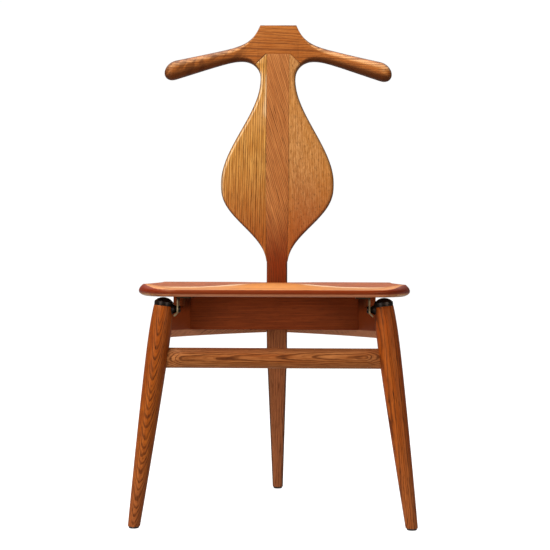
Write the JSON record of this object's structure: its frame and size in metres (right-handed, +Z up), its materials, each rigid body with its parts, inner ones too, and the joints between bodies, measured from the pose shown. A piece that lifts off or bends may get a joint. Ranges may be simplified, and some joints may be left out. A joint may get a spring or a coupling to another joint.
{
  "type": "clothes valet chair",
  "caption": "Three-legged wooden chair whose back ends in a coat hanger; its dished seat hinges up over a shallow triangular box to hold trousers.",
  "frame": {"origin": "on the floor under the middle of the chair's bounding box", "axes": "+Z up, -Y towards the front of the seat, +X to the right seen from the front"},
  "size_m": [0.5098, 0.4889, 0.952],
  "materials": {
    "leg_oak": "oiled and waxed, satin",
    "spine_oak": "oiled and waxed, satin",
    "back_oak": "oiled and waxed, satin",
    "box_teak": "oiled, satin",
    "seat_teak": "oiled and polished by use",
    "dark_brass": "blackened, glossy",
    "brass": "aged, edges rubbed bright",
    "glide": "matt, scuffed"
  },
  "bodies": {
    "frame": {"front_leg_left": "leg_oak", "front_leg_right": "leg_oak", "leg_cap_left": "dark_brass", "leg_cap_right": "dark_brass", "foot_glide_front_left": "glide", "foot_glide_front_right": "glide", "foot_glide_rear": "glide", "front_stretcher": "leg_oak", "side_rail_left": "box_teak", "side_rail_right": "box_teak", "box_front_board": "box_teak", "box_bottom_panel": "box_teak", "back_spine": "spine_oak", "back_cheek_left": "back_oak", "back_cheek_right": "back_oak", "hanger_yoke": "back_oak", "hanger_tenon": "back_oak", "pivot_spacer_left": "dark_brass", "pivot_spacer_right": "dark_brass", "pivot_screw_left": "brass", "pivot_screw_right": "brass"},
    "seat": {"seat_board_front": "seat_teak", "seat_board_second": "seat_teak", "seat_board_third": "seat_teak", "seat_board_rear": "seat_teak", "hinge_bracket_left": "brass", "hinge_bracket_right": "brass", "bracket_screws_left": "brass", "bracket_screws_right": "brass"}
  },
  "joints": [
    {"name": "seat_hinge", "type": "hinge", "parent": "frame", "child": "seat", "pos_m": [0, -0.20554, 0.385], "axis": [1, 0, 0], "range_deg": [0, 90]}
  ]
}
